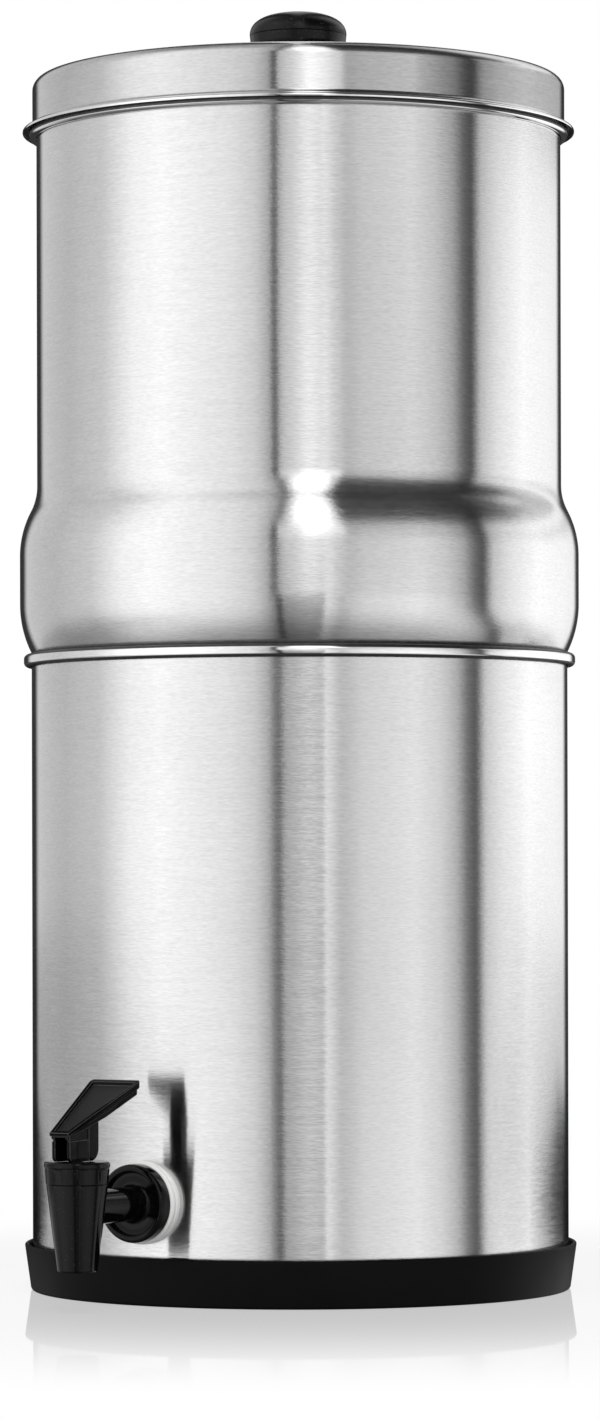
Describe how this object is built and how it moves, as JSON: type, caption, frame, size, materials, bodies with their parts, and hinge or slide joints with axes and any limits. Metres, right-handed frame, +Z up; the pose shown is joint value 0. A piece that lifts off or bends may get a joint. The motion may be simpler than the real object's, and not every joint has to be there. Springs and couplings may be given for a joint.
{
  "type": "gravity water filter",
  "caption": "Two stacked round steel chambers with a lift-off lid, a filter element between them, a rubber base and a lever tap.",
  "frame": {"origin": "centre of the underside of the rubber base, on the vessel's axis", "axes": "+Z up along the vessel's axis, the tap points along -Y, +X to the right seen from the front"},
  "size_m": [0.2384, 0.2934, 0.5445],
  "materials": {
    "steel_sheet": "brushed round the vessel, semi-gloss",
    "steel_pin": "smooth turned steel",
    "spring_steel": "drawn wire",
    "black_plastic": "glossy moulding",
    "base_rubber": "satin",
    "seal_rubber": "matte",
    "white_silicone": "smooth, slightly translucent",
    "white_plastic": "smooth moulding",
    "filter_ceramic": "unglazed, chalky",
    "carbon_block": "porous pressed block"
  },
  "bodies": {
    "lower_unit": {"rubber_base": "base_rubber", "lower_chamber": "steel_sheet", "tap_outer_washer": "white_silicone", "tap_inner_washer": "white_silicone", "tap_nut": "black_plastic", "tap_body": "black_plastic", "tap_bonnet": "black_plastic", "valve_spring": "spring_steel", "seat_cup": "white_silicone"},
    "valve_stem": {"valve_stem": "black_plastic", "stem_pin": "steel_pin"},
    "lever": {"lever_handle": "black_plastic"},
    "upper_unit": {"upper_chamber": "steel_sheet", "filter_shell": "filter_ceramic", "filter_carbon": "carbon_block", "filter_cap": "white_plastic", "filter_washer": "seal_rubber", "filter_wing_nut": "white_plastic", "hole_plugs": "seal_rubber"},
    "lid_unit": {"lid_pan": "steel_sheet", "lid_knob": "black_plastic", "knob_washer": "white_silicone", "knob_screw": "steel_pin"}
  },
  "joints": [
    {"name": "upper_lift", "type": "slide", "parent": "lower_unit", "child": "upper_unit", "axis": [0, 0, 1], "range_m": [0, 0.09]},
    {"name": "lid_lift", "type": "slide", "parent": "upper_unit", "child": "lid_unit", "axis": [0, 0, 1], "range_m": [0, 0.05]},
    {"name": "stem_lift", "type": "slide", "parent": "lower_unit", "child": "valve_stem", "axis": [0, 0, 1], "range_m": [0, 0.0018], "stiffness_N_per_m": 300, "springref_m": -0.01, "deforming": ["valve_spring", "seat_cup"]},
    {"name": "lever_tilt", "type": "hinge", "parent": "valve_stem", "child": "lever", "pos_m": [0, -0.1607, 0.0666], "axis": [-1, 0, 0], "range_deg": [0, 30]}
  ],
  "couplings": [
    {"joint": "lever_tilt", "follows": "stem_lift", "rad_per_m": 290.88}
  ]
}
